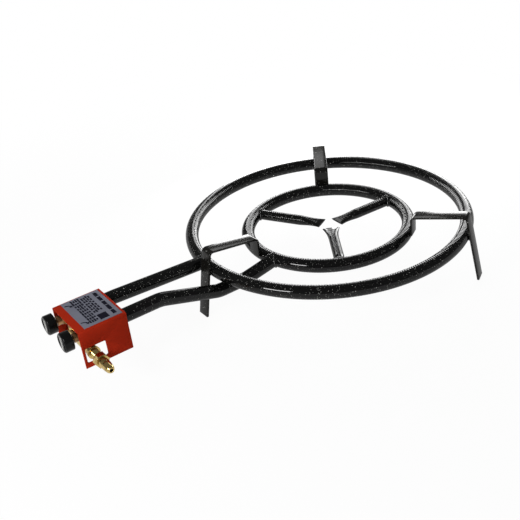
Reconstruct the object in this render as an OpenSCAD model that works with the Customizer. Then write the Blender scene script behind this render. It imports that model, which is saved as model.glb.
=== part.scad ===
// Two-ring gas burner for a wide pan: two tube rings, three strip supports, two feed tubes
// and a folded cover over two push-and-turn taps. The feet stand on z = 0 and the control end
// points along -X.

/* [Rings] */
// Centreline diameter of the outer ring
outer_ring_d = 400; // [370:1:430]
// Centreline diameter of the inner ring
inner_ring_d = 236; // [215:1:255]
// Outside diameter of the ring tubes and feed tubes
tube_d = 19; // [17:0.5:20.5]
// Wall of the ring tubes and feed tubes
tube_wall = 1.5; // [1:0.1:2]
// Drop of the inner ring below the outer ring
inner_drop = 10.5; // [6:0.5:14]
// Height of the outer ring's axis above the ground
ring_h = 64.5; // [58:0.5:80]

/* [Centre arms] */
// Outside diameter of each centre arm
arm_d = 15; // [12:0.5:17]
// Wall of each centre arm
arm_wall = 1.2; // [0.8:0.1:1.6]
// Width of the crimped tip
arm_tip_w = 25.5; // [18:0.5:28]
// Distance from each tip to the point that the arms aim at
arm_tip_gap = 13; // [12:0.5:20]
// Length over which the tube is flattened
arm_crimp_l = 36; // [24:1:50]
// Turn of the three arms about the point that they aim at
arm_turn = -2.5; // [-8:0.5:8]
// Place of that point along the length, from the centre of the rings
arm_meet_x = 3.3; // [-3.5:0.1:3.5]
// Place of that point across the length
arm_meet_y = -2.1; // [-3.5:0.1:3.5]

/* [Supports] */
// Width of the support strip
strip_w = 20; // [14:1:22]
// Thickness of the support strip
strip_t = 3; // [2:0.5:4]
// Height of the outer bend above the outer ring's axis
rest_h = 31.5; // [26:0.5:40]
// Fall of the pan rest towards the centre
rest_fall = 10; // [4:0.5:14]
// Outward lean of the leg, in degrees
leg_splay = 11; // [6:0.5:14]
// Inside radius of the bends in the strip
strip_bend_r = 4; // [2:0.5:6]
// Turn of the left support, on the side of the control cover
left_turn = 179.5; // [178:0.5:182]
// Turn of the back support
back_turn = 54; // [45:1:70]
// Turn of the right support
right_turn = -60; // [-70:1:-45]

/* [Feed tubes] */
// Spacing of the two feed tubes
feed_pitch = 50; // [47:1:54]
// Height of the tap ends of the feed tubes above the outer ring's axis
feed_rise = 6; // [4:0.5:8]
// Bare length of feed tube between the outer ring and the cover
feed_l = 141.5; // [125:0.5:160]
// Length of the slope that takes the inner feed tube under the outer ring
dip_l = 86; // [75:1:95]
// Gap between the outer ring and the tube that passes under it
dip_clear = 0.8; // [0.4:0.1:2]
// Bend radius of the feed tubes, to the axis
tube_bend_r = 45; // [30:1:60]

/* [Control cover] */
// Length of the cover, front to back
cover_l = 65; // [62:0.5:72]
// Width of the cover
cover_w = 79; // [76:0.5:90]
// Height of the cover
cover_h = 53; // [50:0.5:60]
// Sheet thickness of the cover
sheet_t = 1.5; // [1:0.1:2]
// Outside radius of the folds of the cover
fold_r = 2.5; // [2.2:0.1:4]
// Length of the window for the gas inlet
window_l = 28; // [25:0.5:32]
// Height of the window for the gas inlet
window_h = 21; // [19:0.5:22]
// Thickness of the label plate
label_t = 0.4; // [0.2:0.1:1]

/* [Gas taps] */
// Distance from the front edge of the cover back to the inlet leg of each tap
tap_setback = 15; // [14:0.5:17]
// Drop of the manifold below the taps
manifold_drop = 24.5; // [23.5:0.5:26]
// Outside diameter of the manifold
manifold_d = 15; // [12:0.5:16]
// Diameter of the spindles
spindle_d = 6; // [5.5:0.1:6.6]
// Diameter of the knobs
knob_d = 26; // [22:0.5:32]
// Depth of the knobs
knob_l = 12; // [10:0.5:16]
// Push travel of the knobs
knob_push = 2.5; // [1:0.1:2.5]

/* [Gas inlet] */
// Reach of the inlet nose beyond the side of the cover
inlet_reach = 44.5; // [40:0.5:55]
// Diameter of the smooth spigot of the inlet
spigot_d = 13; // [12:0.1:14]
// Hexagon of the inlet nut, across flats
inlet_hex = 17; // [16:0.5:19]
// Diameter of the gas way through the inlet
inlet_bore_d = 4.5; // [3:0.1:5.5]

/* [Hidden] */
$fn = 64;
// Overrun of every cut past the face it leaves
overrun = 1;
// Gap left for the weld where a piece meets a tube
weld_gap = 0.1;
// Radial clearance of turning and sliding fits
run_fit = 0.05;
// Radial clearance of pieces that are screwed or glued in place
screw_fit = 0.03;
// Gap between stops that meet only when pushed
stop_gap = 0.3;

// Ring places, measured from the centre of the rings and the outer ring's axis
outer_r = outer_ring_d / 2;
inner_r = inner_ring_d / 2;
tube_r = tube_d / 2;
bore_r = tube_r - tube_wall;
weld_r = tube_r + weld_gap;

// Centre arm sections, from the round tube to the flat tip
arm_tip_t = 2 * arm_wall + 2 * weld_gap;
arm_crimp_r = arm_tip_gap + arm_crimp_l;
arm_slice_t = 0.2;
arm_station_shares = [0, 0.4, 0.75, 1];
arm_flare_shares = [0, 0.1, 0.45, 1];
arm_flat_shares = [0, 0.3, 0.75, 1];
arm_spacing = 120;

// Support strip, in the plane of radius and height
strip_lap = 3.5;
inner_leg_r = inner_r + weld_r;
inner_leg_z = strip_lap - inner_drop;
leg_reach = weld_r + strip_t;
bend_steps = 8;

// Feed tube routes, in the plane of length and height
cover_rear_x = -(outer_r + tube_r + feed_l);
cover_front_x = cover_rear_x - cover_l;
mouth_inset = 19;
mouth_x = cover_rear_x - mouth_inset;
level_l = 13;
dip_over = 10;
dip_under = 34;
dip_z = -(tube_d + dip_clear);
tube_sides = 24;
corner_steps = 4;
meet_tries = 6;
// Hole in a ring's wall, as a share of the bore of the tube that feeds it
feed_hole_share = 0.8;
feed_y = feed_pitch / 2;
outer_meet_x = -sqrt(outer_r * outer_r - feed_y * feed_y);
inner_meet_x = -sqrt(inner_r * inner_r - feed_y * feed_y);
outer_route = [
    [mouth_x, feed_rise],
    [cover_rear_x + level_l, feed_rise],
    [outer_meet_x, 0]
];
inner_route = [
    [mouth_x, feed_rise],
    [-(outer_r + dip_over + dip_l), feed_rise],
    [-(outer_r + dip_over), dip_z],
    [-(outer_r - dip_under), dip_z],
    [inner_meet_x, -inner_drop]
];

// Carrier plate, on the feed tubes and under the cover
plate_t = 2;
plate_front = 6;
plate_rear = 1;
side_gap = 0.2;
plate_z = feed_rise + tube_r;
plate_w = cover_w - 2 * fold_r - 2 * side_gap;
plate_l = cover_l - plate_front - plate_rear;
screw_d = 4;
screw_head_d = 7.6;
screw_l = 3;

// Cover and label
cover_top_z = plate_z + plate_t + sheet_t;
cover_base_z = cover_top_z - cover_h;
window_edge = 3.5;
window_sill = 7;
window_r = 2.5;
label_front = 10.3;
label_margin = 3.3;

// Tap, measured from the crossing of its turning axis and its inlet leg
tap_x = cover_front_x + tap_setback;
manifold_z = feed_rise - manifold_drop;
barrel_d = 16;
barrel_front = 8;
barrel_rear = 17;
leg_d = 10.5;
stub_d = 8;
stub_l = 4;
port_d = 4;
pad_l = 12;
pad_w = 12;
plug_d = 9.6;
plug_inset = 0.5;
plug_rear = 13;
socket_d = 5;
socket_l = 4.5;
bonnet_l = 10;
bonnet_hex = 13;
bonnet_hex_l = 4;
bonnet_d = 12;
bonnet_wall = 3;
cavity_d = 9;
collar_t = 2;
spring_wall = 1.2;
jet_hex = 10;
jet_hex_l = 8;
jet_nose_d = 6;
jet_nose_l = 12;
jet_tip_l = 3;
jet_tip_d = 4;
jet_stub_d = 5.6;
jet_stub_l = 2.5;
jet_bore_d = 1.2;
bonnet_front = -(barrel_front + bonnet_l);
plug_front = plug_inset - barrel_front;
socket_end = plug_front + socket_l;
collar_front = bonnet_front + bonnet_wall + stop_gap;
collar_back = collar_front + collar_t;
collar_d = cavity_d - 4 * run_fit;
tail_end = socket_end - knob_push - stop_gap;

// Knob
knob_gap = 0.5;
knob_back = bonnet_front - knob_push - knob_gap;
knob_front = knob_back - knob_l;
knob_base_share = 0.5;
knob_bar_share = 0.42;
knob_rim = 2;
knob_chamfer = 1.2;
knob_wall = 3;
flat_depth = 1.2;

// Manifold and inlet, along Y
manifold_bore_d = 8;
manifold_over = 6;
manifold_half = feed_y + manifold_over;
boss_d = 11;
boss_h = 10;
cap_hex = 12;
cap_hex_l = 5;
cap_stub_l = 6;
washer_t = 1;
washer_d = 16;
collar_l = 5;
inlet_collar_d = 17;
barrel_relief = 0.4;
inlet_stub_l = 4;
nut_off = 11.5;
nut_l = 10;
spigot_l = 9;
nose_l = inlet_reach - nut_off - nut_l - spigot_l;
inlet_tip_y = cover_w / 2 + inlet_reach;
nose_station_shares = [0.45, 0.8, 0.95, 1];
nose_radius_shares = [0.92, 0.77, 0.68, 0.58];

// The part is centred on its overall length
ring_x = -(outer_r + tube_r + tap_x + knob_front) / 2;

// Colours
enamel = [0.07, 0.07, 0.07];
red_coat = [0.76, 0.2, 0.08];
brass = [0.72, 0.56, 0.25];
steel = [0.6, 0.6, 0.62];
black_plastic = [0.05, 0.05, 0.055];
label_grey = [0.55, 0.57, 0.64];
fibre_red = [0.5, 0.16, 0.1];

// Point at an angle on the unit circle
function heading(a) = [cos(a), sin(a)];
// Unit normal on the right of a heading
function right_of(a) = [sin(a), -cos(a)];
// Points of an arc, both ends included
function arc(c, r, a0, a1) = [for (i = [0 : bend_steps]) c + r * heading(a0 + (a1 - a0) * i / bend_steps)];
// Heading of one leg of a route
function leg_heading(route, i) = atan2(route[i + 1][1] - route[i][1], route[i + 1][0] - route[i][0]);
// Length that a bend takes off the two legs at a corner of a route
function corner_l(route, i, bend_r) =
    i == 0 || i == len(route) - 1 ? 0
    : bend_r * tan(abs(leg_heading(route, i) - leg_heading(route, i - 1)) / 2);

// Moves a piece from the centre of the rings to the part's frame
module on_rings() {
    translate([ring_x, 0, ring_h]) children();
}

// Moves a piece to one of the taps: side is 1 for the left tap and -1 for the right
module on_tap(side) {
    on_rings() translate([tap_x, side * feed_y, feed_rise]) children();
}

// Turns a piece from Z to X
module along_x(x) {
    translate([x, 0, 0]) rotate([0, 90, 0]) children();
}

// Moves a piece to the manifold, with its own Z pointing out of the inlet end
module on_manifold() {
    on_rings() translate([tap_x, 0, manifold_z]) rotate([90, 0, 0]) children();
}

// Hexagonal bar
module hexagon(across, h) {
    cylinder(h = h, d = across / cos(30), $fn = 6);
}

// Solid torus about Z
module torus(ring_radius, r) {
    rotate_extrude() translate([ring_radius, 0]) circle(r = r);
}

// Places along a route, each with its heading: the ends, and steps round every bend
function stations(route) = let(last = len(route) - 1) [
    [route[0], leg_heading(route, 0)],
    for (i = [1 : last - 1], k = [0 : corner_steps])
        let(
            before = leg_heading(route, i - 1),
            turn = leg_heading(route, i) - before,
            way = sign(turn) * tube_bend_r,
            from = route[i] - corner_l(route, i, tube_bend_r) * heading(before),
            a = before + turn * k / corner_steps
        ) [from - way * right_of(before) + way * right_of(a), a],
    [route[last], leg_heading(route, last - 1)]
];
// Ring of points round one place of a route, at a radius
function tube_ring(place, y, r) = [
    for (k = [0 : tube_sides - 1]) let(t = 360 * k / tube_sides) [
        place[0][0] - sin(place[1]) * r * cos(t),
        y + r * sin(t),
        place[0][1] + cos(place[1]) * r * cos(t)
    ]
];
// Run from a point along a heading to the skin of the ring that it meets
function meet_run(p, a, ring_radius, ring_z, run, tries) =
    tries == 0 ? run
    : let(
        z = p[2] + run * sin(a) - ring_z,
        reach = ring_radius + sqrt(max(0, weld_r * weld_r - z * z)),
        x = -sqrt(reach * reach - p[1] * p[1])
    ) meet_run(p, a, ring_radius, ring_z, (x - p[0]) / cos(a), tries - 1);
// Last ring of points, trimmed to the skin of the ring that it meets
function trimmed(points, a, ring_radius, ring_z) = [
    for (p = points) let(run = meet_run(p, a, ring_radius, ring_z, 0, meet_tries))
        p + run * [cos(a), 0, sin(a)]
];
// Every ring of points of one skin of a feed tube
function tube_skin(route, y, r, ring_radius, ring_z) = let(
    places = stations(route),
    last = len(places) - 1
) [
    for (j = [0 : last]) let(points = tube_ring(places[j], y, r))
        each j < last ? points : trimmed(points, places[j][1], ring_radius, ring_z)
];

// Hollow tube along a route, trimmed to fit the ring at its far end
module feed_tube(route, y, ring_radius, ring_z) {
    outside = tube_skin(route, y, tube_r, ring_radius, ring_z);
    inside = tube_skin(route, y, bore_r, ring_radius, ring_z);
    n = tube_sides;
    m = len(outside);
    sides = [for (j = [0 : m / n - 2], k = [0 : n - 1])
        let(a = j * n + k, b = j * n + (k + 1) % n) each [[a, b, b + n], [a, b + n, a + n]]];
    inner_sides = [for (f = sides) [f[2] + m, f[1] + m, f[0] + m]];
    mouth = [for (k = [0 : n - 1])
        let(a = k, b = (k + 1) % n) each [[a, a + m, b + m], [a, b + m, b]]];
    end = [for (k = [0 : n - 1])
        let(a = m - n + k, b = m - n + (k + 1) % n) each [[a, b, b + m], [a, b + m, a + m]]];
    polyhedron(points = concat(outside, inside), faces = concat(sides, inner_sides, mouth, end));
}

// Last leg of a route, used to drill the ring that it feeds
module last_leg_drill(route, side) {
    last = len(route) - 1;
    a = leg_heading(route, last - 1);
    translate([route[last][0], side * feed_y, route[last][1]]) rotate([0, 90 - a + 180, 0])
        cylinder(h = tube_d + overrun, r = bore_r * feed_hole_share);
}

module outer_ring() {
    color(enamel) on_rings() difference() {
        torus(outer_r, tube_r);
        torus(outer_r, bore_r);
        last_leg_drill(outer_route, 1);
    }
}

// Turns a piece of one centre arm into place, about the point that the arms aim at
module on_arm(i) {
    translate([arm_meet_x, arm_meet_y, 0]) rotate([0, 0, arm_turn + i * arm_spacing]) children();
}

module inner_ring() {
    color(enamel) on_rings() difference() {
        translate([0, 0, -inner_drop]) difference() {
            torus(inner_r, tube_r);
            torus(inner_r, bore_r);
            for (i = [0 : 2]) on_arm(i)
                along_x(arm_crimp_r) cylinder(h = inner_r - arm_crimp_r, d = arm_d - 2 * arm_wall);
        }
        last_leg_drill(inner_route, -1);
    }
}

// One flattened section of a centre arm
module arm_slice(i) {
    along_x(arm_crimp_r - arm_station_shares[i] * arm_crimp_l) linear_extrude(height = arm_slice_t)
        scale([
            arm_d + (arm_tip_t - arm_d) * arm_flat_shares[i],
            arm_d + (arm_tip_w - arm_d) * arm_flare_shares[i]
        ]) circle(d = 1, $fn = 32);
}

// Centre arm: a tube from the inner ring whose end is crimped flat
module centre_arm(i) {
    color(enamel) on_rings() translate([0, 0, -inner_drop]) difference() {
        on_arm(i) difference() {
            union() {
                along_x(arm_crimp_r) cylinder(h = inner_r - arm_crimp_r, d = arm_d);
                for (k = [0 : len(arm_station_shares) - 2]) hull() {
                    arm_slice(k);
                    arm_slice(k + 1);
                }
            }
            along_x(arm_crimp_r) cylinder(h = inner_r - arm_crimp_r + overrun, d = arm_d - 2 * arm_wall);
        }
        torus(inner_r, weld_r);
    }
}

module outer_feed_tube() {
    color(enamel) on_rings() feed_tube(outer_route, feed_y, outer_r, 0);
}

module inner_feed_tube() {
    color(enamel) on_rings() feed_tube(inner_route, -feed_y, inner_r, -inner_drop);
}

// Radius of the leg's outer face at a height, from its lean and its touch on the outer ring
function leg_r(z) = outer_r + (leg_reach - z * sin(leg_splay)) / cos(leg_splay);

// Bent strip that carries the pan and stands on the ground, seen from the side
module strip_side() {
    top_in = [inner_leg_r, rest_h - rest_fall];
    top_out = [leg_r(rest_h), rest_h];
    rise = atan2(top_out[1] - top_in[1], top_out[0] - top_in[0]);
    down = leg_splay - 90;
    wide_r = strip_bend_r + strip_t;
    c_in = top_in - wide_r * tan((90 - rise) / 2) * heading(90) + wide_r * right_of(90);
    c_out = top_out - wide_r * tan((rise - down) / 2) * heading(rise) + wide_r * right_of(rise);
    polygon(concat(
        [[inner_leg_r, inner_leg_z]],
        arc(c_in, wide_r, 180, rise + 90),
        arc(c_out, wide_r, rise + 90, down + 90),
        [[leg_r(-ring_h), -ring_h], [leg_r(-ring_h) - strip_t / cos(leg_splay), -ring_h]],
        arc(c_out, strip_bend_r, down + 90, rise + 90),
        arc(c_in, strip_bend_r, rise + 90, 180),
        [[inner_leg_r + strip_t, inner_leg_z]]
    ));
}

module support(turn) {
    color(enamel) on_rings() rotate([0, 0, turn]) rotate([90, 0, 0])
        linear_extrude(height = strip_w, center = true) strip_side();
}

// Countersunk screw shape, with its head flush at z = 0
module countersunk(fit) {
    translate([0, 0, -plate_t]) cylinder(h = plate_t, d1 = screw_d + 2 * fit, d2 = screw_head_d + 2 * fit);
    translate([0, 0, -plate_t - screw_l - fit]) cylinder(h = screw_l + fit + overrun / 4, d = screw_d + 2 * fit);
}

// The two screw places, on the top of the carrier plate
module at_screws() {
    for (side = [1, -1]) on_tap(side) translate([0, 0, plate_z + plate_t - feed_rise]) children();
}

module carrier_plate() {
    color(steel) difference() {
        on_rings() translate([cover_front_x + plate_front, -plate_w / 2, plate_z])
            cube([plate_l, plate_w, plate_t]);
        at_screws() countersunk(screw_fit);
    }
}

module carrier_screws() {
    color(steel) at_screws() countersunk(0);
}

// End view of the folded sheet: a flat top with two round folds
module fold_end(w, h, r) {
    translate([-w / 2, 0]) square([w, h - r]);
    translate([r - w / 2, 0]) square([w - 2 * r, h]);
    for (side = [1, -1]) translate([side * (w / 2 - r), h - r]) circle(r = r);
}

// Window outline with round corners
module window_side() {
    translate([window_r, 0]) square([window_l - 2 * window_r, window_h]);
    translate([0, window_r]) square([window_l, window_h - 2 * window_r]);
    for (x = [window_r, window_l - window_r], y = [window_r, window_h - window_r])
        translate([x, y]) circle(r = window_r);
}

module control_cover() {
    color(red_coat) on_rings() translate([cover_front_x, 0, cover_base_z]) difference() {
        rotate([90, 0, 90]) linear_extrude(height = cover_l) fold_end(cover_w, cover_h, fold_r);
        translate([-overrun, 0, -overrun]) rotate([90, 0, 90]) linear_extrude(height = cover_l + 2 * overrun)
            fold_end(cover_w - 2 * sheet_t, cover_h - sheet_t + overrun, fold_r - sheet_t);
        translate([window_edge, sheet_t + overrun - cover_w / 2, window_sill]) rotate([90, 0, 0])
            linear_extrude(height = sheet_t + 2 * overrun) window_side();
    }
}

module label_plate() {
    color(label_grey) on_rings()
        translate([cover_front_x + label_front, label_margin - cover_w / 2, cover_top_z])
            cube([cover_l - label_front - label_margin, cover_w - 2 * label_margin, label_t]);
}

module gas_manifold() {
    color(brass) difference() {
        union() {
            on_manifold() translate([0, 0, -manifold_half]) cylinder(h = 2 * manifold_half, d = manifold_d);
            for (side = [1, -1]) on_tap(side) translate([0, 0, -manifold_drop])
                cylinder(h = boss_h, d = boss_d);
        }
        on_manifold() translate([0, 0, -manifold_half - overrun])
            cylinder(h = 2 * manifold_half + 2 * overrun, d = manifold_bore_d);
        for (side = [1, -1]) on_tap(side) {
            translate([0, 0, -manifold_drop]) cylinder(h = boss_h, d = port_d);
            translate([0, 0, boss_h - manifold_drop - stub_l - screw_fit])
                cylinder(h = stub_l + screw_fit + overrun, d = stub_d + 2 * screw_fit);
        }
    }
}

module manifold_cap() {
    color(brass) on_manifold() {
        translate([0, 0, -manifold_half - cap_hex_l]) hexagon(cap_hex, cap_hex_l);
        translate([0, 0, -manifold_half]) cylinder(h = cap_stub_l, d = manifold_bore_d - 2 * screw_fit);
    }
}

module inlet_washer() {
    color(fibre_red) on_manifold() translate([0, 0, manifold_half]) difference() {
        cylinder(h = washer_t, d = washer_d);
        translate([0, 0, -overrun]) cylinder(h = washer_t + 2 * overrun, d = manifold_bore_d + 2 * screw_fit);
    }
}

// Turned inlet: stub, collar, barrel, smooth spigot and tapered nose round one gas way
module inlet_connector() {
    collar_start = manifold_half + washer_t;
    collar_end = collar_start + collar_l;
    spigot_start = cover_w / 2 + nut_off + nut_l;
    spigot_end = spigot_start + spigot_l;
    way_r = inlet_bore_d / 2;
    stub_r = manifold_bore_d / 2 - screw_fit;
    collar_r = inlet_collar_d / 2;
    barrel_r = spigot_d / 2 - barrel_relief;
    spigot_r = spigot_d / 2;
    color(brass) on_manifold() rotate_extrude() polygon(concat(
        [
            [way_r, manifold_half - inlet_stub_l], [stub_r, manifold_half - inlet_stub_l],
            [stub_r, collar_start], [collar_r, collar_start],
            [collar_r, collar_end], [barrel_r, collar_end],
            [barrel_r, spigot_start], [spigot_r, spigot_start], [spigot_r, spigot_end]
        ],
        [for (i = [0 : len(nose_station_shares) - 1])
            [spigot_r * nose_radius_shares[i], spigot_end + nose_l * nose_station_shares[i]]],
        [[way_r, inlet_tip_y]]
    ));
}

module inlet_nut() {
    color(brass) on_manifold() translate([0, 0, cover_w / 2 + nut_off]) difference() {
        hexagon(inlet_hex, nut_l);
        translate([0, 0, -overrun])
            cylinder(h = nut_l + 2 * overrun, d = spigot_d - 2 * barrel_relief + 2 * screw_fit);
    }
}

module tap_body(side) {
    leg_l = manifold_drop - boss_h;
    color(brass) on_tap(side) difference() {
        union() {
            along_x(-barrel_front) cylinder(h = barrel_front + barrel_rear, d = barrel_d);
            translate([0, 0, -leg_l]) cylinder(h = leg_l, d = leg_d);
            translate([0, 0, -leg_l - stub_l]) cylinder(h = stub_l + overrun, d = stub_d);
            translate([-pad_l / 2, -pad_w / 2, 0]) cube([pad_l, pad_w, tube_r]);
        }
        along_x(-barrel_front - overrun)
            cylinder(h = barrel_front + overrun + plug_rear + stop_gap, d = plug_d + 2 * run_fit);
        along_x(plug_rear) cylinder(h = barrel_rear - plug_rear + overrun, d = port_d);
        along_x(barrel_rear - jet_stub_l - screw_fit)
            cylinder(h = jet_stub_l + overrun, d = jet_stub_d + 2 * screw_fit);
        translate([0, 0, -leg_l - stub_l - overrun]) cylinder(h = leg_l + stub_l + overrun, d = port_d);
        translate([0, 0, tube_r + plate_t]) countersunk(screw_fit);
    }
}

module tap_bonnet(side) {
    color(brass) on_tap(side) difference() {
        union() {
            along_x(bonnet_front) cylinder(h = bonnet_l, d = bonnet_d);
            along_x(-barrel_front - bonnet_hex_l) hexagon(bonnet_hex, bonnet_hex_l);
        }
        along_x(bonnet_front + bonnet_wall) cylinder(h = bonnet_l, d = cavity_d);
        along_x(bonnet_front - overrun) cylinder(h = bonnet_l, d = spindle_d + 2 * run_fit);
    }
}

// Turning plug: a cross port that faces sideways when the tap is shut
module tap_plug(side) {
    color(brass) on_tap(side) difference() {
        along_x(plug_front) cylinder(h = plug_rear - plug_front, d = plug_d);
        along_x(plug_front - overrun) cylinder(h = socket_l + overrun, d = socket_d + 2 * run_fit);
        along_x(0) cylinder(h = plug_rear + overrun, d = port_d);
        rotate([-90, 0, 0]) cylinder(h = plug_d, d = port_d);
    }
}

// Return spring, as the sleeve that its turns fill
module tap_spring(side) {
    inside_d = socket_d + 2 * stop_gap;
    spring_l = plug_front - collar_back - 2 * stop_gap;
    color(steel) on_tap(side) along_x(collar_back + stop_gap) difference() {
        cylinder(h = spring_l, d = inside_d + 2 * spring_wall);
        translate([0, 0, -overrun]) cylinder(h = spring_l + 2 * overrun, d = inside_d);
    }
}

// Flat on the knob end of a spindle: fit opens it up for the knob's bore
module spindle_end(fit) {
    end_l = knob_l - knob_wall;
    difference() {
        cylinder(h = end_l, d = spindle_d + 2 * fit);
        translate([spindle_d / 2 - flat_depth + fit, -spindle_d, -overrun])
            cube([spindle_d, 2 * spindle_d, end_l + 2 * overrun]);
    }
}

module tap_spindle(side) {
    color(brass) on_tap(side) {
        along_x(knob_back - knob_l + knob_wall) spindle_end(0);
        along_x(knob_back) cylinder(h = collar_front - knob_back, d = spindle_d);
        along_x(collar_front) cylinder(h = collar_t, d = collar_d);
        along_x(collar_back) cylinder(h = tail_end - collar_back, d = socket_d);
    }
}

// Knob: a round body with two finger pockets, which leave a grip bar across its face
module knob(side) {
    pocket_l = knob_l * (1 - knob_base_share);
    knob_r = knob_d / 2;
    color(black_plastic) on_tap(side) difference() {
        along_x(knob_front) rotate_extrude() polygon([
            [0, 0], [knob_r - knob_chamfer, 0], [knob_r, knob_chamfer], [knob_r, knob_l], [0, knob_l]
        ]);
        along_x(knob_front - overrun) for (turn = [0, 180]) rotate([0, 0, turn]) intersection() {
            cylinder(h = pocket_l + overrun, r = knob_r - knob_rim);
            translate([-knob_r, knob_d * knob_bar_share / 2, 0]) cube([knob_d, knob_r, knob_l]);
        }
        along_x(knob_front + knob_wall - screw_fit) {
            spindle_end(screw_fit);
            translate([0, 0, knob_l - knob_wall]) spindle_end(screw_fit);
        }
    }
}

module injector(side) {
    color(brass) on_tap(side) along_x(barrel_rear) difference() {
        union() {
            hexagon(jet_hex, jet_hex_l);
            translate([0, 0, -jet_stub_l]) cylinder(h = jet_stub_l + overrun, d = jet_stub_d);
            translate([0, 0, jet_hex_l]) cylinder(h = jet_nose_l - jet_tip_l, d = jet_nose_d);
            translate([0, 0, jet_hex_l + jet_nose_l - jet_tip_l])
                cylinder(h = jet_tip_l, d1 = jet_nose_d, d2 = jet_tip_d);
        }
        translate([0, 0, -jet_stub_l - overrun]) cylinder(h = jet_hex_l + jet_stub_l, d = port_d);
        translate([0, 0, -overrun]) cylinder(h = jet_hex_l + jet_nose_l + 2 * overrun, d = jet_bore_d);
    }
}

outer_ring();
inner_ring();
centre_arm(0);  // centre_arm_right
centre_arm(1);  // centre_arm_back
centre_arm(2);  // centre_arm_front
outer_feed_tube();
inner_feed_tube();
support(left_turn);  // support_left
support(back_turn);  // support_back
support(right_turn);  // support_right
carrier_plate();
carrier_screws();
control_cover();
label_plate();
gas_manifold();
manifold_cap();
inlet_washer();
inlet_connector();
inlet_nut();
tap_body(1);  // tap_body_left
tap_body(-1);  // tap_body_right
tap_bonnet(1);  // tap_bonnet_left
tap_bonnet(-1);  // tap_bonnet_right
tap_plug(1);  // tap_plug_left
tap_plug(-1);  // tap_plug_right
tap_spring(1);  // tap_spring_left
tap_spring(-1);  // tap_spring_right
tap_spindle(1);  // tap_spindle_left
tap_spindle(-1);  // tap_spindle_right
knob(1);  // knob_left
knob(-1);  // knob_right
injector(1);  // injector_left
injector(-1);  // injector_right
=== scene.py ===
import math

import bmesh
import bpy
import numpy as np
from mathutils import Matrix, Vector


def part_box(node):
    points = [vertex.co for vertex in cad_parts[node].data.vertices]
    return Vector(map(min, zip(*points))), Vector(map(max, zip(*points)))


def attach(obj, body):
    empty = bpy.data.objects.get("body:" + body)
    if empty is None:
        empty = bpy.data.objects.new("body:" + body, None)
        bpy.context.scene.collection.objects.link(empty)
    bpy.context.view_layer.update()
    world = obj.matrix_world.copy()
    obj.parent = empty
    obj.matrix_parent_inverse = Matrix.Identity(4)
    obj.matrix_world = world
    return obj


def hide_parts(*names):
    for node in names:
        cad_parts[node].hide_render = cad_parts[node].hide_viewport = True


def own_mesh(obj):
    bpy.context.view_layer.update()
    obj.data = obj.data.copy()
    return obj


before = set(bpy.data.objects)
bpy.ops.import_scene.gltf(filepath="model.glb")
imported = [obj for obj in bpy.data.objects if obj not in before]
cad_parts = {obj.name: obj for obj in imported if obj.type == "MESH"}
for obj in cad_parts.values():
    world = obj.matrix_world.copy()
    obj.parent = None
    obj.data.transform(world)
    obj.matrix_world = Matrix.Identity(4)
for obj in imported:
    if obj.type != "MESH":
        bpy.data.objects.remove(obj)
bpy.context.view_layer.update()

MM = 0.001
FRAME_BODY = "burner_frame"
UP = Vector((0, 0, 1))

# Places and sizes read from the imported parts
outer_lo, outer_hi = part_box("outer_ring")
inner_lo, inner_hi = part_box("inner_ring")
feed_lo, feed_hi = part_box("outer_feed_tube")
dip_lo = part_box("inner_feed_tube")[0]
cover_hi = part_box("control_cover")[1]
label_lo, label_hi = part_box("label_plate")
inlet_lo, inlet_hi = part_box("inlet_connector")
nut_lo, nut_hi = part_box("inlet_nut")
knob_lo, knob_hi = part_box("knob_left")
ring_centre = (outer_lo + outer_hi) / 2
tube_r = (feed_hi.y - feed_lo.y) / 2
outer_r = (outer_hi.x - outer_lo.x) / 2 - tube_r
inner_r = (inner_hi.x - inner_lo.x) / 2 - tube_r
inner_z = (inner_lo.z + inner_hi.z) / 2 - ring_centre.z
feed_y = (feed_lo.y + feed_hi.y) / 2
feed_z = feed_hi.z - tube_r - ring_centre.z
dip_z = dip_lo.z + tube_r - ring_centre.z
mouth_x = feed_lo.x - ring_centre.x
tap_z = (knob_lo.z + knob_hi.z) / 2
inlet_axis = (nut_lo + nut_hi) / 2

# Tube work
WALL = 1.5 * MM
SIDES = 32
LEVEL_L = 13 * MM
DIP_L = 86 * MM
DIP_OVER = 10 * MM
DIP_UNDER = 34 * MM
BEND_R = 45 * MM
BEND_STEPS = 10
RIPPLE_PITCH = 3.5 * MM
RIPPLE_STEPS = 6
RIPPLE_HEIGHT = 0.17 * MM
RIPPLE_PATCH = 16 * MM
RIPPLE_LEAST_SHARE = 0.25
RIPPLE_MORE_SHARE = 1.1
RIPPLE_SIDE_SHARES = (-0.9, -0.2)
RIPPLE_ROOM_SHARE = 0.01
MEET_ROUNDS = 8

# Gas ports
PORT_D = 1.6 * MM
PORT_PITCH = 9 * MM
PORT_DEPTH = 0.16 * MM
PORT_SIDES = 10
PORT_ROWS = ((62, 0), (118, 0.5))

# Tap springs
SPRING_WALL = 1.2 * MM
SPRING_WIRE_R = 0.35 * MM
SPRING_TURNS = 3
SPRING_STEPS = 32
SPRING_SIDES = 10

# Centre arms
ARM_R = 7.5 * MM
ARM_TIP_W = 25.5 * MM
ARM_TIP_T = 2.6 * MM
ARM_TIP_GAP = 13 * MM
ARM_CRIMP_L = 36 * MM
ARM_FLARE_POWER = 2.6
ARM_FLAT_POWER = 1.15
ARM_SQUARE_SHARE = 0.35
ARM_SLOT_DEPTH = 2.5 * MM
ARM_SLOT_W_SHARE = 0.9
ARM_SLOT_T_SHARES = (0.25, 0.3)
ARM_RIPPLE_SHARE = 0.03
ARM_TOP_SHARE = 0.3
ARM_TURNS = (-2.5, 117.5, 237.5)
ARM_MEET = np.array((3.3, -2.1, 0)) * MM
ARM_NAMES = ("right", "back", "front")

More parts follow.
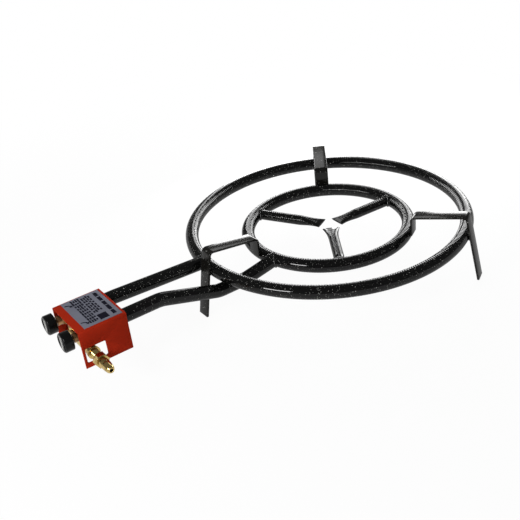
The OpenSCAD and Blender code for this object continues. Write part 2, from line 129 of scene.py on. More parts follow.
# Strip supports
STRIP_W = 20 * MM
STRIP_T = 3 * MM
STRIP_EDGE = 0.5 * MM
STRIP_EDGE_STEPS = 4
STRIP_BEND_R = 4 * MM
STRIP_BEND_STEPS = 8
STRIP_LAP = 3.5 * MM
REST_H = 31.5 * MM
REST_FALL = 10 * MM
LEG_SPLAY = 11
WELD_GAP = 0.1 * MM
SUPPORT_TURNS = {"left": 179.5, "back": 54, "right": -60}

# Inlet
INLET_BORE_R = 2.25 * MM
INLET_BORE_SEEN = 14 * MM
INLET_EDGE = 0.5 * MM
STUB_R = 3.97 * MM
STUB_L = 5 * MM
COLLAR_L = 5 * MM
BARREL_R = 6.1 * MM
THREAD_PITCH = 1.2 * MM
THREAD_DEPTH = 0.35 * MM
THREAD_START_SHARE = 0.75
SPIGOT_R = 6.5 * MM
SPIGOT_L = 9 * MM
SPIGOT_EDGE = 0.3 * MM
NOSE_STEP = 0.25 * MM
NOSE_STATIONS = 12
NOSE_TAPER_SHARE = 0.08
NOSE_CURVE_SHARE = 0.18
NOSE_TIP_SHARE = 0.42
NOSE_ROUND_FROM = 0.72
NOSE_RIM = 0.3 * MM
NOSE_RIM_L = 0.4 * MM
NUT_SIDES = 72
NUT_EDGE = 0.9 * MM
NUT_CAP_SHARES = (0.98, 1.2)

# Label: rows, bars in a row, row pitch, bar pitch, bar width, place along and across, and seed of each block
PRINT_BLOCKS = (
    (4, 9, 3.1, 7.2, 2.3, 17, 0, 3),
    (4, 6, 3.2, 7.4, 2.3, 30.5, 9.5, 8),
    (1, 5, 4, 13, 4.8, 44.5, 0, 5),
)
PRINT_T = 0.05 * MM
PRINT_LIFT = 0.01 * MM
PRINT_SLIP_SHARE = 0.3
PRINT_BAR_SHARES = (0.55, 0.97)
SOLID_BLOCK = ((24.5, -32), (36.5, -32), (36.5, -19), (24.5, -19))
ARROW_PLACES = ((1.5, 19.5), (1.5, -30))
ARROW_R = 8 * MM
ARROW_W = 2 * MM
ARROW_TURNS = (88, 26)
ARROW_HEAD_TURN = 26
ARROW_HEAD_SHARE = 1.6
ARROW_STEPS = 18

# Rounding of edges
COVER_EDGE = 0.35 * MM
BONNET_EDGE = 0.25 * MM
KNOB_EDGE = 0.5 * MM
LABEL_EDGE = 0.08 * MM
EDGE_SEGMENTS = 2
FLAT_ANGLE = 0.5
MERGE_D = 0.001 * MM
CAD_MERGE_D = 0.002 * MM

# Light
CEILING = 0.22
BACKDROP_TOP = 4
FLOOR_HALF = 8.0
FLOOR_COLOUR = (0.9, 0.9, 0.9, 1)
FLOOR_GLOW_SHARE = 0.95
SHADOW_REACH = (0.4, 1.0)

# Camera, as fitted to the photograph
CAMERA_AZIMUTH = -32.04
CAMERA_ELEVATION = 30.11
CAMERA_ROLL = -6.81
CAMERA_DISTANCE = 1212.29 * MM
CAMERA_AIM = (-105.2 * MM, -49.25 * MM)
CAMERA_FOCAL_SHARE = 823.48 / 520
CAMERA_SENSOR = 36
CAMERA_CLIP = (0.05, 50)

# Welds
BEAD_R = 1.5 * MM
BEAD_PITCH = 1.1 * MM
BEAD_SHARES = (0.82, 1.12)
BEAD_LENGTH_SHARE = 0.75
BEAD_SIDES = 10
BEAD_RINGS = 6
BEAD_SEED = 4
SEAM_SIDES = 48
SEAM_STEPS = 24
SEAM_SPREAD = 0.3 * MM
SEAM_LIFT = 0.2 * MM
ARM_SEAM_SHARE = 1.06
STRIP_SEAM_SHARE = 0.42
LAP_SEAM_DROP = 0.6 * MM
LEG_SEAM_OFF = 4.6 * MM

# Finishes: sizes of their patterns, and depths of their grain
FLECK_PITCHES = (1.5 * MM, 3.6 * MM)
FLECK_RADIUS_SHARES = (0.30, 0.16)
FLECK_LEAST_SIZE = 0.5
FLECK_LEAST_TONE = 0.15
FLECK_CORE_SHARE = 0.55
ENAMEL_CLOUD = 14 * MM
ENAMEL_PEEL = 3.5 * MM
ENAMEL_PEEL_DEPTH = 0.2 * MM
RED_CLOUD = 22 * MM
RED_GRAIN = 0.9 * MM
RED_GRAIN_DEPTH = 0.12 * MM
TARNISH_PATCH = 7 * MM
TARNISH_RANGE = (0.42, 0.75)
TURNED_X = (2600, 60, 60)
TURNED_Y = (60, 2600, 60)
TURNED_DEPTH = 0.05 * MM
# How far past the bore's radius the painted bore shade reaches
BORE_SHADE_OVER = 0.05 * MM
ROLLED_X = (120, 2500, 2500)
ROLLED_DEPTH = 0.03 * MM
KNOB_GRAIN = 0.5 * MM
KNOB_GRAIN_DEPTH = 0.05 * MM
KNOB_CLOUD = 9 * MM
POINTER_SIDES = (1.3 * MM, 1.0 * MM)
POINTER_ENDS = (8.6 * MM, 8.2 * MM)
POINTER_DEPTH = 0.1 * MM
BRUSHED_Y = (2500, 90, 900)
BRUSHED_DEPTH = 0.02 * MM
FOIL_CLOUD = 18 * MM
PAINT_CLOUD = 1.6 * MM
PAINT_DEPTH = 0.02 * MM


def heading(angle):
    """Unit vector in a plane at an angle in degrees."""
    return np.array((math.cos(math.radians(angle)), math.sin(math.radians(angle))))


def right_of(angle):
    """Unit vector on the right of a heading."""
    return np.array((math.sin(math.radians(angle)), -math.cos(math.radians(angle))))


class Wire:
    """An output of a node, on which arithmetic adds Math nodes."""

    def __init__(self, graph, socket):
        self.graph = graph
        self.socket = socket

    def of(self, name):
        """Another output of the same node."""
        return Wire(self.graph, self.socket.node.outputs[name])

    def __add__(self, other):
        return self.graph.math("ADD", self, other)

    def __radd__(self, other):
        return self.graph.math("ADD", other, self)

    def __sub__(self, other):
        return self.graph.math("SUBTRACT", self, other)

    def __rsub__(self, other):
        return self.graph.math("SUBTRACT", other, self)

    def __mul__(self, other):
        return self.graph.math("MULTIPLY", self, other)

    def __rmul__(self, other):
        return self.graph.math("MULTIPLY", other, self)

    def __truediv__(self, other):
        return self.graph.math("DIVIDE", self, other)

    def __rtruediv__(self, other):
        return self.graph.math("DIVIDE", other, self)

    def __lt__(self, other):
        return self.graph.math("LESS_THAN", self, other)

    def __gt__(self, other):
        return self.graph.math("GREATER_THAN", self, other)


class Graph:
    """A node tree written as expressions."""

    def __init__(self, tree):
        self.tree = tree

    def fill(self, socket, value):
        if isinstance(value, Wire):
            self.tree.links.new(value.socket, socket)
        else:
            socket.default_value = value

    def node(self, kind, settings=None, inputs=None, out=0):
        """Adds a node, sets it up, fills or links its inputs, and gives one of its outputs."""
        made = self.tree.nodes.new(kind)
        for key, value in (settings or {}).items():
            setattr(made, key, value)
        for key, value in (inputs or {}).items():
            self.fill(made.inputs[key], value)
        return Wire(self, made.outputs[out])

    def math(self, operation, *terms):
        return self.node("ShaderNodeMath", {"operation": operation}, dict(enumerate(terms)))

    def vector(self, operation, *terms):
        return self.node("ShaderNodeVectorMath", {"operation": operation}, dict(enumerate(terms)))

    def times(self, direction, share):
        """A vector times a number."""
        return self.node("ShaderNodeVectorMath", {"operation": "SCALE"}, {0: direction, "Scale": share})

    def ease(self, value, start, end):
        """Smooth step from 0 at start to 1 at end."""
        return self.node(
            "ShaderNodeMapRange",
            {"interpolation_type": "SMOOTHSTEP"},
            {"Value": value, "From Min": start, "From Max": end},
        )

    def split(self, vector):
        return self.node("ShaderNodeSeparateXYZ", {}, {0: vector})

    def join(self, x, y, z):
        return self.node("ShaderNodeCombineXYZ", {}, {0: x, 1: y, 2: z})

    def noise(self, place, size, detail=2.0):
        """Soft noise from 0 to 1, with features about size across."""
        return self.node("ShaderNodeTexNoise", {}, {"Vector": place, "Scale": 1 / size, "Detail": detail})


class Finish(Graph):
    """A material: a graph round one Principled shader."""

    def __init__(self, name, inputs):
        self.material = bpy.data.materials.new(name)
        self.material.use_nodes = True
        super().__init__(self.material.node_tree)
        self.shader = self.tree.nodes["Principled BSDF"]
        self.place = self.node("ShaderNodeTexCoord", out="Object")
        self.shade(inputs)

    def shade(self, inputs):
        for key, value in inputs.items():
            self.fill(self.shader.inputs[key], value)

    def tint(self, share, first, second):
        """Colour between two others."""
        ends = {0: share, 6: self.colour(first), 7: self.colour(second)}
        return self.node("ShaderNodeMix", {"data_type": "RGBA"}, ends, 2)

    def colour(self, value):
        return value if isinstance(value, Wire) else (*value, 1)

    def bump(self, height, strength, depth):
        self.shade({"Normal": self.node("ShaderNodeBump", {}, {
            "Strength": strength, "Distance": depth, "Height": height})})

    def flecks(self, pitch, radius_share, cell_share):
        """Round flecks on a scattered grid, in a share of its cells."""
        grid = {"Vector": self.place, "Scale": 1 / pitch}
        cells = self.node("ShaderNodeTexVoronoi", {}, grid, "Distance")
        draw = self.node("ShaderNodeSeparateColor", {}, {0: cells.of("Color")})
        size = radius_share * (FLECK_LEAST_SIZE + draw.of("Green"))
        tone = FLECK_LEAST_TONE + draw.of("Blue") * draw.of("Blue")
        return self.ease(cells, size, size * FLECK_CORE_SHARE) * (draw < cell_share) * tone


def enamel(name, base, fleck_share, gloss, blur):
    """Black vitreous enamel with pale flecks, under a clear gloss."""
    made = Finish(name, {"Specular IOR Level": 0.0, "Coat Weight": gloss, "Coat Roughness": blur})
    small, large = [made.flecks(*size, fleck_share) for size in zip(FLECK_PITCHES, FLECK_RADIUS_SHARES)]
    flecks = made.math("MAXIMUM", small, large)
    cloud = made.noise(made.place, ENAMEL_CLOUD)
    ground = made.tint(cloud, [0.5 * c for c in base], [1.5 * c for c in base])
    made.shade({
        "Base Color": made.tint(flecks, ground, (0.50, 0.50, 0.47)),
        "Roughness": 0.35 + 0.15 * cloud + 0.2 * flecks,
    })
    peel = made.noise(made.place, ENAMEL_PEEL)
    made.bump(peel + 0.25 * flecks, strength=0.15, depth=ENAMEL_PEEL_DEPTH)
    return made.material


def red_coat():
    """Orange-red powder coat, a little darker in patches, with a fine grain."""
    made = Finish("red_coat", {"Specular IOR Level": 0.01})
    cloud = made.noise(made.place, RED_CLOUD, detail=3.0)
    grain = made.noise(made.place, RED_GRAIN)
    made.shade({
        "Base Color": made.tint(cloud, (0.30, 0.017, 0.006), (0.40, 0.026, 0.008)),
        "Roughness": 0.40 + 0.16 * grain,
    })
    made.bump(grain, strength=0.18, depth=RED_GRAIN_DEPTH)
    return made.material


def brass(name, axis, dull, bright, dark):
    """Turned brass with fine tool marks across an axis and some tarnish; in the inlet's bore it is painted
    near black and not metal, as painted shade.
    """
    made = Finish(name, {})
    tarnish = made.ease(made.noise(made.place, TARNISH_PATCH, detail=3.0), *TARNISH_RANGE)
    marks = made.noise(made.vector("MULTIPLY", made.place, axis), 1.0, detail=1.0)
    # Painted shade: brass within the bore radius of the inlet's axis is painted near black and not metal,
    # standing for the shade deep in the bore.
    x, z = made.split(made.place) - inlet_axis.x, made.split(made.place).of("Z") - inlet_axis.z
    bore_shade = made.math("SQRT", x * x + z * z) < INLET_BORE_R + BORE_SHADE_OVER
    made.shade({
        "Base Color": made.tint(bore_shade, made.tint(tarnish, bright, dark), (0.003, 0.003, 0.003)),
        "Roughness": dull + 0.12 * marks + 0.14 * tarnish,
        "Metallic": 1 - bore_shade,
    })
    made.bump(marks, strength=0.12, depth=TURNED_DEPTH)
    return made.material


def plain_steel():
    """Plated sheet with a rolled grain."""
    made = Finish("steel", {"Metallic": 1.0})
    grain = made.noise(made.vector("MULTIPLY", made.place, ROLLED_X), 1.0)
    made.shade({
        "Base Color": made.tint(grain, (0.42, 0.42, 0.43), (0.60, 0.60, 0.62)),
        "Roughness": 0.30 + 0.2 * grain,
    })
    made.bump(grain, strength=0.1, depth=ROLLED_DEPTH)
    return made.material


def moulded_black():
    """Black moulded plastic with a fine grain, and a pale pointer line filled into the face."""
    made = Finish("knob_plastic", {"Specular IOR Level": 0.12})
    grain = made.noise(made.place, KNOB_GRAIN)
    cloud = made.noise(made.place, KNOB_CLOUD)
    x, y, z = made.split(made.place), made.split(made.place).of("Y"), made.split(made.place).of("Z")
    across = made.math("ABSOLUTE", made.math("ABSOLUTE", y) - feed_y)
    along = made.math("ABSOLUTE", z - tap_z)
    line = made.ease(across, *POINTER_SIDES) * made.ease(along, *POINTER_ENDS)
    line = line * (x < knob_lo.x + POINTER_DEPTH)
    ground = made.tint(cloud, (0.003, 0.003, 0.003), (0.006, 0.006, 0.006))
    made.shade({
        "Base Color": made.tint(line, ground, (0.42, 0.42, 0.39)),
        "Roughness": 0.12 + 0.14 * grain + 0.3 * line,
    })
    made.bump(grain, strength=0.1, depth=KNOB_GRAIN_DEPTH)
    return made.material


def label_foil():
    """Blue-grey foil with a brushed sheen."""
    made = Finish("label_foil", {"Specular IOR Level": 0.02})
    sheen = made.noise(made.vector("MULTIPLY", made.place, BRUSHED_Y), 1.0)
    cloud = made.noise(made.place, FOIL_CLOUD)
    made.shade({
        "Base Color": made.tint(cloud, (0.135, 0.140, 0.175), (0.200, 0.206, 0.250)),
        "Roughness": 0.38 + 0.18 * sheen,
    })
    made.bump(sheen, strength=0.06, depth=BRUSHED_DEPTH)
    return made.material


def flat_paint(name, dark, light, rough):
    """Printed or filled colour with a slight unevenness."""
    made = Finish(name, {"Specular IOR Level": 0.02})
    cloud = made.noise(made.place, PAINT_CLOUD, detail=3.0)
    made.shade({"Base Color": made.tint(cloud, dark, light), "Roughness": rough + 0.15 * cloud})
    made.bump(cloud, strength=0.08, depth=PAINT_DEPTH)
    return made.material


RING_ENAMEL = enamel("ring_enamel", (0.003, 0.003, 0.003), fleck_share=0.28, gloss=0.45, blur=0.05)
STRIP_ENAMEL = enamel("strip_enamel", (0.007, 0.0065, 0.0055), fleck_share=0.14, gloss=0.45, blur=0.16)
WELD_ENAMEL = enamel("weld_enamel", (0.02, 0.02, 0.02), fleck_share=0.10, gloss=1.0, blur=0.12)
RED_COAT = red_coat()
INLET_BRASS = brass(
    "inlet_brass", TURNED_Y, dull=0.10, bright=(0.56, 0.41, 0.16), dark=(0.30, 0.21, 0.07))
# The taps' brass is a rougher copy of the brass whose darker colours are painted shade, for the taps that sit
# in the cover's shade.
TAP_BRASS_SHADED = brass(
    "tap_brass", TURNED_X, dull=0.25, bright=(0.36, 0.20, 0.09), dark=(0.14, 0.075, 0.03))
STEEL = plain_steel()
KNOB_PLASTIC = moulded_black()
LABEL_FOIL = label_foil()
LABEL_INK = flat_paint("label_ink", (0.006, 0.006, 0.012), (0.014, 0.014, 0.024), rough=0.4)
# Near-black matt discs that stand for the gas ports: painted shade in place of the holes' dark insides.
PORT_SHADE = flat_paint("port_dark", (0.002, 0.002, 0.002), (0.006, 0.006, 0.006), rough=0.7)
FIBRE = flat_paint("fibre", (0.22, 0.05, 0.03), (0.34, 0.09, 0.05), rough=0.75)


class Grower(Graph):
    """A geometry tree with named inputs, run once to make a plain mesh."""

    def __init__(self, name, inputs):
        super().__init__(bpy.data.node_groups.new(name, "GeometryNodeTree"))
        face = self.tree.interface
        face.new_socket("Geometry", in_out="OUTPUT", socket_type="NodeSocketGeometry")
        for label, kind in inputs.items():
            face.new_socket(label, in_out="INPUT", socket_type="NodeSocket" + kind)
        self.given = self.tree.nodes.new("NodeGroupInput")
        self.result = self.tree.nodes.new("NodeGroupOutput")

    def size(self, label):
        return Wire(self, self.given.outputs[label])

    def close(self, geometry):
        """Ends the tree with real, smooth geometry in the finish it is given."""
        real = self.node("GeometryNodeRealizeInstances", {}, {"Geometry": geometry})
        smooth = self.node("GeometryNodeSetShadeSmooth", {}, {0: real})
        dressed = self.node("GeometryNodeSetMaterial", {}, {
            "Geometry": smooth, "Material": self.size("Finish")})
        self.fill(self.result.inputs["Geometry"], dressed)

    def grow(self, name, values, start=None):
        """Runs the tree on a mesh and gives the plain mesh that it makes."""
        carrier = bpy.data.objects.new(name, start or bpy.data.meshes.new(name))
        bpy.context.scene.collection.objects.link(carrier)
        modifier = carrier.modifiers.new("grow", "NODES")
        modifier.node_group = self.tree
        for item in self.tree.interface.items_tree:
            if item.name in values:
                modifier[item.identifier] = values[item.name]
        depsgraph = bpy.context.evaluated_depsgraph_get()
        mesh = bpy.data.meshes.new_from_object(carrier.evaluated_get(depsgraph))
        carrier.modifiers.clear()
        bpy.data.objects.remove(carrier)
        mesh.name = name
        return mesh


def piece(name, mesh, body, slot, *stands_for):
    """A finished mesh as a piece of the burner, in place of the CAD nodes that it stands for."""
    made = bpy.data.objects.new(name, mesh)
    bpy.context.scene.collection.objects.link(made)
    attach(made, body)
    if stands_for:
        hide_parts(*stands_for)
    return made


def finished(mesh, material, sharp=35):
    """Merges a mesh, turns its faces outwards and shades it smooth up to an angle."""
    work = bmesh.new()
    work.from_mesh(mesh)
    bmesh.ops.remove_doubles(work, verts=work.verts, dist=MERGE_D)
    bmesh.ops.recalc_face_normals(work, faces=work.faces)
    work.to_mesh(mesh)
    work.free()
    mesh.shade_smooth()
    mesh.set_sharp_from_angle(angle=math.radians(sharp))
    mesh.materials.clear()
    mesh.materials.append(material)
    return mesh


def lofted(name, rings, closed=False):
    """A mesh through equal rings of points: joined end to end, or capped."""
    count, around = len(rings), len(rings[0])
    points = [tuple(p) for ring in rings for p in ring]
    faces = []
    for j in range(count if closed else count - 1):
        a, b = j * around, (j + 1) % count * around
        for k in range(around):
            m = (k + 1) % around
            faces.append((a + k, a + m, b + m, b + k))
    if not closed:
        faces.append(tuple(range(around)))
        faces.append(tuple(range((count - 1) * around, count * around)))
    mesh = bpy.data.meshes.new(name)
    mesh.from_pydata(points, [], faces)
    return mesh


def joined(name, meshes):
    """One mesh of several."""
    work = bmesh.new()
    for mesh in meshes:
        work.from_mesh(mesh)
    made = bpy.data.meshes.new(name)
    work.to_mesh(made)
    work.free()
    return made


def turned(name, profile, start, along, segments=64):
    """A turned solid: (distance, radius) pairs revolved about a line from start."""
    side = along.orthogonal().normalized()
    other = along.cross(side)
    angles = np.linspace(0, 2 * math.pi, segments, endpoint=False)
    rings = [
        [start + along * reach + (side * math.cos(t) + other * math.sin(t)) * radius for t in angles]
        for reach, radius in profile
    ]
    return lofted(name, rings)


def refined(node, width, material, sharp=35, angle=40):
    """A copy of a CAD node's mesh with its sharp edges rounded off."""
    work = bmesh.new()
    work.from_mesh(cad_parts[node].data)
    bmesh.ops.remove_doubles(work, verts=work.verts, dist=CAD_MERGE_D)
    bmesh.ops.dissolve_limit(
        work, angle_limit=math.radians(FLAT_ANGLE), verts=work.verts, edges=work.edges)
    shared = [e for e in work.edges if len(e.link_faces) == 2]
    edges = [e for e in shared if e.calc_face_angle() > math.radians(angle)]
    bmesh.ops.bevel(
        work, geom=edges, offset=width, segments=EDGE_SEGMENTS, profile=0.5, affect="EDGES",
        clamp_overlap=True)
    mesh = bpy.data.meshes.new(node)
    work.to_mesh(mesh)
    work.free()
    return finished(mesh, material, sharp)


def dress(material, *nodes):
    """Gives CAD nodes that stay a finish of their own."""
    for node in nodes:
        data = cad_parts[node].data
        if not data.materials:
            data.materials.append(material)
        for index in range(len(data.materials)):
            data.materials[index] = material


def rippled_ring_tree():
    """Bent tube ring, with the fine ripples that bending leaves on its inner side."""
    tree = Grower("rippled_ring", {
        "Ring Radius": "Float", "Tube Radius": "Float", "Ripples": "Int", "Steps": "Int", "Sides": "Int",
        "Ripple Height": "Float", "Centre": "Vector", "Finish": "Material"})
    ring, tube = tree.size("Ring Radius"), tree.size("Tube Radius")
    path = tree.node("GeometryNodeCurvePrimitiveCircle", {}, {
        "Resolution": tree.size("Ripples") * tree.size("Steps"), "Radius": ring})
    section = tree.node("GeometryNodeCurvePrimitiveCircle", {}, {
        "Resolution": tree.size("Sides"), "Radius": tube})
    skin = tree.node("GeometryNodeCurveToMesh", {}, {"Curve": path, "Profile Curve": section})
    place = tree.node("GeometryNodeInputPosition")
    x, y = tree.split(place), tree.split(place).of("Y")
    reach = tree.math("SQRT", x * x + y * y)
    core = tree.times(tree.join(x, y, 0), ring / reach)
    inward = (ring - reach) / tube
    wave = tree.math("COSINE", tree.math("ARCTAN2", y, x) * tree.size("Ripples"))
    uneven = RIPPLE_LEAST_SHARE + RIPPLE_MORE_SHARE * tree.noise(place, RIPPLE_PATCH)
    swell = wave * uneven * tree.ease(inward, *RIPPLE_SIDE_SHARES) * tree.size("Ripple Height") / tube
    offset = tree.times(tree.vector("SUBTRACT", place, core), swell - RIPPLE_ROOM_SHARE)
    shaped = tree.node("GeometryNodeSetPosition", {}, {"Geometry": skin, "Offset": offset})
    tree.close(tree.node("GeometryNodeTransform", {}, {
        "Geometry": shaped, "Translation": tree.size("Centre")}))
    return tree


def ring_pieces():
    """The outer and the inner ring."""
    tree = rippled_ring_tree()
    for name, radius, z in (("outer_ring", outer_r, 0), ("inner_ring", inner_r, inner_z)):
        mesh = tree.grow(name + "_tube", {
            "Ring Radius": radius, "Tube Radius": tube_r,
            "Ripples": round(2 * math.pi * radius / RIPPLE_PITCH), "Steps": RIPPLE_STEPS, "Sides": SIDES,
            "Ripple Height": RIPPLE_HEIGHT, "Centre": ring_centre + UP * z, "Finish": RING_ENAMEL})
        piece(name + "_tube", mesh, FRAME_BODY, "enamel", name)


def route_stations(route):
    """Places and headings along a route in the plane of length and height, with round bends."""
    legs = [math.degrees(math.atan2(b[1] - a[1], b[0] - a[0])) for a, b in zip(route, route[1:])]
    stations = [(np.array(route[0]), legs[0])]
    for corner, before, after in zip(route[1:-1], legs, legs[1:]):
        turn = after - before
        way = math.copysign(BEND_R, turn)
        start = np.array(corner) - BEND_R * math.tan(math.radians(abs(turn) / 2)) * heading(before)
        for k in range(BEND_STEPS + 1):
            angle = before + turn * k / BEND_STEPS
            stations.append((start - way * right_of(before) + way * right_of(angle), angle))
    stations.append((np.array(route[-1]), legs[-1]))
    return stations


def tube_ring(station, y, radius, sides=SIDES):
    """Ring of points round a station of a feed tube, from the centre of the rings."""
    (x, z), angle = station
    rise = heading(angle + 90)
    turns = np.linspace(0, 2 * math.pi, sides, endpoint=False)
    return np.array([
        (x + rise[0] * radius * math.cos(t), y + radius * math.sin(t), z + rise[1] * radius * math.cos(t))
        for t in turns])


def met(points, angle, ring_radius, ring_z, skin_r):
    """Points moved along a heading to the outer side of a ring's skin."""
    way = heading(angle)
    moved = []
    for p in points:
        run = 0.0
        for _ in range(MEET_ROUNDS):
            z = p[2] + run * way[1] - ring_z
            reach = ring_radius + math.sqrt(max(0.0, skin_r ** 2 - z ** 2))
            run = (-math.sqrt(reach ** 2 - p[1] ** 2) - p[0]) / way[0]
        moved.append((p[0] + run * way[0], p[1], p[2] + run * way[1]))
    return np.array(moved)


def feed_routes():
    """Name, route, side, ring radius and ring height of each feed tube."""
    rear_x = cover_hi.x - ring_centre.x
    outer_meet = -math.sqrt(outer_r ** 2 - feed_y ** 2)
    inner_meet = -math.sqrt(inner_r ** 2 - feed_y ** 2)
    outer = [(mouth_x, feed_z), (rear_x + LEVEL_L, feed_z), (outer_meet, 0)]
    inner = [
        (mouth_x, feed_z), (-(outer_r + DIP_OVER + DIP_L), feed_z), (-(outer_r + DIP_OVER), dip_z),
        (-(outer_r - DIP_UNDER), dip_z), (inner_meet, inner_z)]
    return (
        ("outer_feed_tube", outer, feed_y, outer_r, 0),
        ("inner_feed_tube", inner, -feed_y, inner_r, inner_z))


def feed_tubes():
    """Both feed tubes, open at the mouth and cut to the ring that they feed."""
    seams = []
    for node, route, y, ring_radius, ring_z in feed_routes():
        stations = route_stations(route)
        angle = stations[-1][1]
        skins = []
        for radius in (tube_r - WALL, tube_r):
            skin = [tube_ring(s, y, radius) for s in stations]
            skin[-1] = met(skin[-1], angle, ring_radius, ring_z, tube_r)
            skins.append(skin)
        rings = [ring + np.array(ring_centre) for ring in skins[0][::-1] + skins[1]]
        mesh = finished(lofted(node, rings, closed=True), RING_ENAMEL)
        piece(node + "_skin", mesh, FRAME_BODY, "enamel", node)
        edge = tube_ring(stations[-1], y, tube_r + SEAM_SPREAD, SEAM_SIDES)
        seam = met(edge, angle, ring_radius, ring_z, tube_r + SEAM_LIFT)
        seams.append((seam + np.array(ring_centre), True))
    return seams


def arm_section(reach, sides):
    """Outline of a centre arm at a distance from the centre: (sideways, up) pairs."""
    crimp = min(1.0, max(0.0, (ARM_TIP_GAP + ARM_CRIMP_L - reach) / ARM_CRIMP_L))
    half_w = ARM_R + (ARM_TIP_W / 2 - ARM_R) * crimp ** ARM_FLARE_POWER
    half_t = ARM_R + (ARM_TIP_T / 2 - ARM_R) * crimp ** ARM_FLAT_POWER
    power = 1 - ARM_SQUARE_SHARE * crimp
    turns = np.linspace(0, 2 * math.pi, sides, endpoint=False)
    return [
        (half_w * math.copysign(abs(math.cos(t)) ** power, math.cos(t)),
         half_t * math.copysign(abs(math.sin(t)) ** power, math.sin(t))) for t in turns]


def centre_arms():
    """Three tubes in the inner ring, crimped flat at the tip, with press ripples on top."""
    seams = []
    for turn, label in zip(ARM_TURNS, ARM_NAMES):
        out = np.array((*heading(turn), 0))
        side = np.array((-out[1], out[0], 0))
        home = np.array(ring_centre) + np.array((0, 0, inner_z)) + ARM_MEET
        ahead, aside = ARM_MEET @ out, ARM_MEET @ side
        end = inner_r - tube_r - ARM_R - ahead
        rings = []
        for depth, shrink in zip((ARM_SLOT_DEPTH, 0), ARM_SLOT_T_SHARES):
            reach = ARM_TIP_GAP + depth
            rings.append([
                home + out * reach + side * s * ARM_SLOT_W_SHARE + np.array((0, 0, w * shrink))
                for s, w in arm_section(ARM_TIP_GAP, SIDES)])
        steps = round((end - ARM_TIP_GAP) / RIPPLE_PITCH * RIPPLE_STEPS)
        for i in range(steps + 1):
            reach = ARM_TIP_GAP + (end - ARM_TIP_GAP) * i / steps
            wave = 1 + ARM_RIPPLE_SHARE * math.cos(2 * math.pi * i / RIPPLE_STEPS)
            ring = []
            for s, w in arm_section(reach, SIDES):
                height = w * (wave if w > ARM_TOP_SHARE * ARM_R else 1)
                ring.append(home + out * reach + side * s + np.array((0, 0, height)))
            rings.append(ring)
        last = []
        seam = []
        for s, w in arm_section(end, SIDES):
            for points, wider, skin_r in ((last, 1, tube_r), (seam, ARM_SEAM_SHARE, tube_r + SEAM_LIFT)):
                sideways, up = wider * s, wider * w
                meet_r = inner_r - math.sqrt(skin_r ** 2 - up ** 2)
                reach = math.sqrt(meet_r ** 2 - (sideways + aside) ** 2) - ahead
                points.append(home + out * reach + side * sideways + np.array((0, 0, up)))
        rings.append(last)
        seams.append((np.array(seam), True))
        node = "centre_arm_" + label
        skin = finished(lofted(node, rings), RING_ENAMEL, sharp=50)
        piece(node + "_skin", skin, FRAME_BODY, "enamel", node)
    return seams


def leg_r(z):
    """Radius of a leg's outer face at a height."""
    lean = math.radians(LEG_SPLAY)
    return outer_r + (tube_r + WELD_GAP + STRIP_T - z * math.sin(lean)) / math.cos(lean)


def strip_stations():
    """Places and headings along the upper face of a support, in the plane of radius and height."""
    foot = -ring_centre.z
    top_in = np.array((inner_r + tube_r + WELD_GAP, REST_H - REST_FALL))
    top_out = np.array((leg_r(REST_H), REST_H))
    run = top_out - top_in
    rise = math.degrees(math.atan2(run[1], run[0]))
    down = LEG_SPLAY - 90
    wide = STRIP_BEND_R + STRIP_T
    stations = [(np.array((top_in[0], STRIP_LAP + inner_z)), 90)]
    for corner, before, after in ((top_in, 90, rise), (top_out, rise, down)):
        start = corner - wide * math.tan(math.radians((before - after) / 2)) * heading(before)
        centre = start + wide * right_of(before)
        for k in range(STRIP_BEND_STEPS + 1):
            angle = before + (after - before) * k / STRIP_BEND_STEPS
            stations.append((centre - wide * right_of(angle), angle))
    stations.append((np.array((leg_r(foot), foot)), down))
    return stations


def strip_outline():
    """Cross-section of the strip with rounded edges: (sideways, depth) pairs."""
    outline = []
    half = STRIP_W / 2 - STRIP_EDGE
    for s, d, a in ((1, STRIP_EDGE, -90), (1, STRIP_T - STRIP_EDGE, 0),
                    (-1, STRIP_T - STRIP_EDGE, 90), (-1, STRIP_EDGE, 180)):
        for k in range(STRIP_EDGE_STEPS):
            turn = heading(a + 90 * k / (STRIP_EDGE_STEPS - 1)) * STRIP_EDGE
            outline.append((s * half + turn[0], d + turn[1]))
    return outline


def supports():
    """Three bent strips, each with its welds to both rings."""
    seams = []
    outline = strip_outline()
    stations = strip_stations()
    foot = -ring_centre.z
    for label, turn in SUPPORT_TURNS.items():
        out = np.array((*heading(turn), 0))
        side = np.array((-out[1], out[0], 0))

        def at(radius, height, sideways):
            return np.array(ring_centre) + out * radius + side * sideways + np.array((0, 0, height))

        rings = []
        for place, angle in stations:
            ring = []
            for sideways, depth in outline:
                radius, height = place + depth * right_of(angle)
                if place[1] == foot:
                    run = (foot - height) / heading(angle)[1]
                    radius, height = np.array((radius, height)) + run * heading(angle)
                ring.append(at(radius, height, sideways))
            rings.append(ring)
        node = "support_" + label
        strip = finished(lofted(node, rings), STRIP_ENAMEL, sharp=50)
        piece(node + "_strip", strip, FRAME_BODY, "enamel", node)
        reach = np.linspace(-STRIP_SEAM_SHARE, STRIP_SEAM_SHARE, SEAM_STEPS) * STRIP_W
        low = STRIP_LAP + inner_z - LAP_SEAM_DROP
        seams.append((np.array([at(inner_r + tube_r + SEAM_LIFT, low, s) for s in reach]), False))
        touch = tube_r * math.sin(math.radians(LEG_SPLAY))
        for height in (touch + LEG_SEAM_OFF, touch - LEG_SEAM_OFF):
            skin = outer_r + math.sqrt(tube_r ** 2 - height ** 2)
            face = leg_r(height) - STRIP_T / math.cos(math.radians(LEG_SPLAY))
            seams.append((np.array([at((skin + face) / 2, height, s) for s in reach]), False))
    return seams


